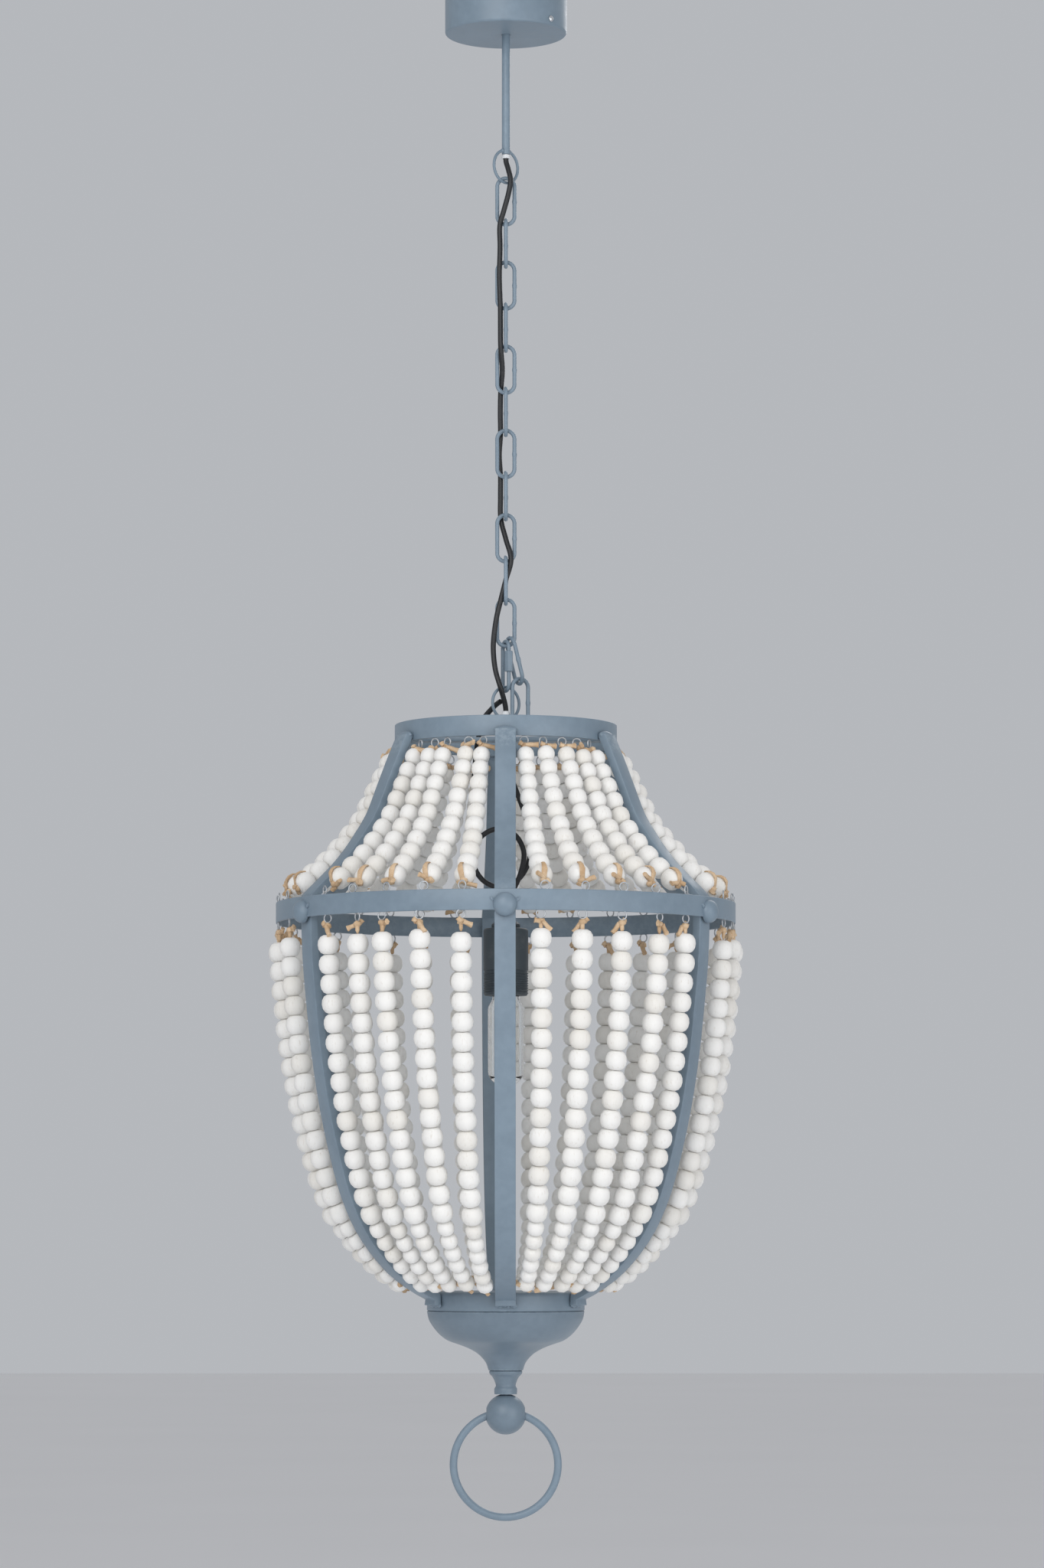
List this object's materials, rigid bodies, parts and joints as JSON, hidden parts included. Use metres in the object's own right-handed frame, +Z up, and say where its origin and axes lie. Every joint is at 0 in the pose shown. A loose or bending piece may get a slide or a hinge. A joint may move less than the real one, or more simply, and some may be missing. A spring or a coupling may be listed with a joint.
{
  "type": "beaded chandelier",
  "caption": "Beaded pendant chandelier: round canopy and chain over an open ribbed frame of two rings with hanging strands of wooden beads, a turned finial and a pull ring.",
  "frame": {"origin": "on the fixture's vertical axis, in the plane of the ceiling, on the upper face of the bracket", "axes": "+Z up out of the ceiling, +X to the right and -Y towards the viewer of the picture"},
  "size_m": [0.4654, 0.4664, 1.5124],
  "materials": {
    "blue_grey_paint": "satin paint",
    "painted_turned_wood": "satin paint on turned wood",
    "whitewashed_beads": "matt whitewash",
    "black_cable": "smooth",
    "white_bushing": "moulded",
    "dark_holder": "moulded",
    "zinc_steel": "zinc plated",
    "clear_glass": "clear"
  },
  "bodies": {
    "ceiling_fixing": {"ceiling_bracket": "zinc_steel", "ceiling_canopy": "blue_grey_paint", "canopy_screw_right": "blue_grey_paint", "canopy_screw_left": "blue_grey_paint", "stem_tube": "blue_grey_paint", "stem_lock_nut": "zinc_steel", "stem_loop": "blue_grey_paint", "stem_bushing": "white_bushing", "power_cable": "black_cable"},
    "link_01": {"chain_link_01": "blue_grey_paint"},
    "link_02": {"chain_link_02": "blue_grey_paint"},
    "link_03": {"chain_link_03": "blue_grey_paint"},
    "link_04": {"chain_link_04": "blue_grey_paint"},
    "link_05": {"chain_link_05": "blue_grey_paint"},
    "link_06": {"chain_link_06": "blue_grey_paint"},
    "link_07": {"chain_link_07": "blue_grey_paint"},
    "link_08": {"chain_link_08": "blue_grey_paint"},
    "link_09": {"chain_link_09": "blue_grey_paint"},
    "link_10": {"chain_link_10": "blue_grey_paint"},
    "link_11": {"chain_link_11": "blue_grey_paint"},
    "link_12": {"chain_link_12": "blue_grey_paint"},
    "link_13": {"chain_link_13": "blue_grey_paint"},
    "quick_link_body": {"quick_link": "blue_grey_paint"},
    "sleeve": {"quick_link_sleeve": "blue_grey_paint"},
    "cage": {"frame_tube": "blue_grey_paint", "frame_bushing": "white_bushing", "frame_loop": "blue_grey_paint", "frame_cross_bar": "blue_grey_paint", "frame_top_ring": "blue_grey_paint", "rib_front": "blue_grey_paint", "rib_front_right": "blue_grey_paint", "rib_back_right": "blue_grey_paint", "rib_back": "blue_grey_paint", "rib_back_left": "blue_grey_paint", "rib_front_left": "blue_grey_paint", "frame_middle_ring": "blue_grey_paint", "upper_strands_front_to_front_right": "whitewashed_beads", "lower_strands_front_to_front_right": "whitewashed_beads", "upper_strands_front_right_to_back_right": "whitewashed_beads", "lower_strands_front_right_to_back_right": "whitewashed_beads", "upper_strands_back_right_to_back": "whitewashed_beads", "lower_strands_back_right_to_back": "whitewashed_beads", "upper_strands_back_to_back_left": "whitewashed_beads", "lower_strands_back_to_back_left": "whitewashed_beads", "upper_strands_back_left_to_front_left": "whitewashed_beads", "lower_strands_back_left_to_front_left": "whitewashed_beads", "upper_strands_front_left_to_front": "whitewashed_beads", "lower_strands_front_left_to_front": "whitewashed_beads", "cup_lid": "blue_grey_paint", "cup_bowl": "painted_turned_wood", "finial_collar": "painted_turned_wood", "finial_ball": "painted_turned_wood", "tie_rod": "zinc_steel", "cord_tail": "black_cable"},
    "lamp": {"lamp_cable": "black_cable", "cord_grip": "dark_holder", "lamp_holder": "dark_holder", "bulb_base": "zinc_steel", "bulb_glass": "clear_glass"},
    "ring": {"pull_ring": "blue_grey_paint"}
  },
  "joints": [
    {"name": "chain_link_01_swing", "type": "hinge", "parent": "ceiling_fixing", "child": "link_01", "pos_m": [0, 0, -0.1972], "axis": [0.7254, 0.6884, 0], "range_deg": [-12, 12], "deforming": ["power_cable"]},
    {"name": "chain_link_02_swing", "type": "hinge", "parent": "link_01", "child": "link_02", "pos_m": [0, 0, -0.2388], "axis": [1, 0, 0], "range_deg": [-12, 12]},
    {"name": "chain_link_03_swing", "type": "hinge", "parent": "link_02", "child": "link_03", "pos_m": [0, 0, -0.2805], "axis": [0, 1, 0], "range_deg": [-12, 12]},
    {"name": "chain_link_04_swing", "type": "hinge", "parent": "link_03", "child": "link_04", "pos_m": [0, 0, -0.3222], "axis": [1, 0, 0], "range_deg": [-12, 12]},
    {"name": "chain_link_05_swing", "type": "hinge", "parent": "link_04", "child": "link_05", "pos_m": [0, 0, -0.3639], "axis": [0, 1, 0], "range_deg": [-12, 12]},
    {"name": "chain_link_06_swing", "type": "hinge", "parent": "link_05", "child": "link_06", "pos_m": [0, 0, -0.4056], "axis": [1, 0, 0], "range_deg": [-12, 12]},
    {"name": "chain_link_07_swing", "type": "hinge", "parent": "link_06", "child": "link_07", "pos_m": [0, 0, -0.4473], "axis": [0, 1, 0], "range_deg": [-12, 12]},
    {"name": "chain_link_08_swing", "type": "hinge", "parent": "link_07", "child": "link_08", "pos_m": [0, 0, -0.489], "axis": [1, 0, 0], "range_deg": [-12, 12]},
    {"name": "chain_link_09_swing", "type": "hinge", "parent": "link_08", "child": "link_09", "pos_m": [0, 0, -0.5307], "axis": [0, 1, 0], "range_deg": [-12, 12]},
    {"name": "chain_link_10_swing", "type": "hinge", "parent": "link_09", "child": "link_10", "pos_m": [0, 0, -0.5724], "axis": [1, 0, 0], "range_deg": [-12, 12]},
    {"name": "chain_link_11_swing", "type": "hinge", "parent": "link_10", "child": "link_11", "pos_m": [0, 0, -0.6141], "axis": [0, 1, 0], "range_deg": [-12, 12]},
    {"name": "spare_link_12_swing", "type": "hinge", "parent": "link_11", "child": "link_12", "pos_m": [0.00335, 0, -0.64789], "axis": [0, 1, 0], "range_deg": [-25, 0]},
    {"name": "spare_link_13_swing", "type": "hinge", "parent": "link_12", "child": "link_13", "pos_m": [0.01409, 0, -0.69262], "axis": [0, 1, 0], "range_deg": [-30, 0]},
    {"name": "quick_link_swing", "type": "hinge", "parent": "link_11", "child": "quick_link_body", "pos_m": [0, 0, -0.6558], "axis": [1, 0, 0], "range_deg": [-2, 12]},
    {"name": "quick_link_sleeve_slide", "type": "slide", "parent": "quick_link_body", "child": "sleeve", "axis": [0, 0, -1], "range_m": [0, 0.008]},
    {"name": "basket_swing", "type": "hinge", "parent": "quick_link_body", "child": "cage", "pos_m": [0, 0, -0.6999], "axis": [0.4226, -0.9063, 0], "range_deg": [-12, 2]},
    {"name": "lamp_swing", "type": "hinge", "parent": "cage", "child": "lamp", "pos_m": [0, 0, -0.757], "axis": [1, 0, 0], "range_deg": [-8, 8]},
    {"name": "pull_ring_swing", "type": "hinge", "parent": "cage", "child": "ring", "pos_m": [0, 0, -1.40791], "axis": [1, 0, 0], "range_deg": [-75, 75]}
  ]
}
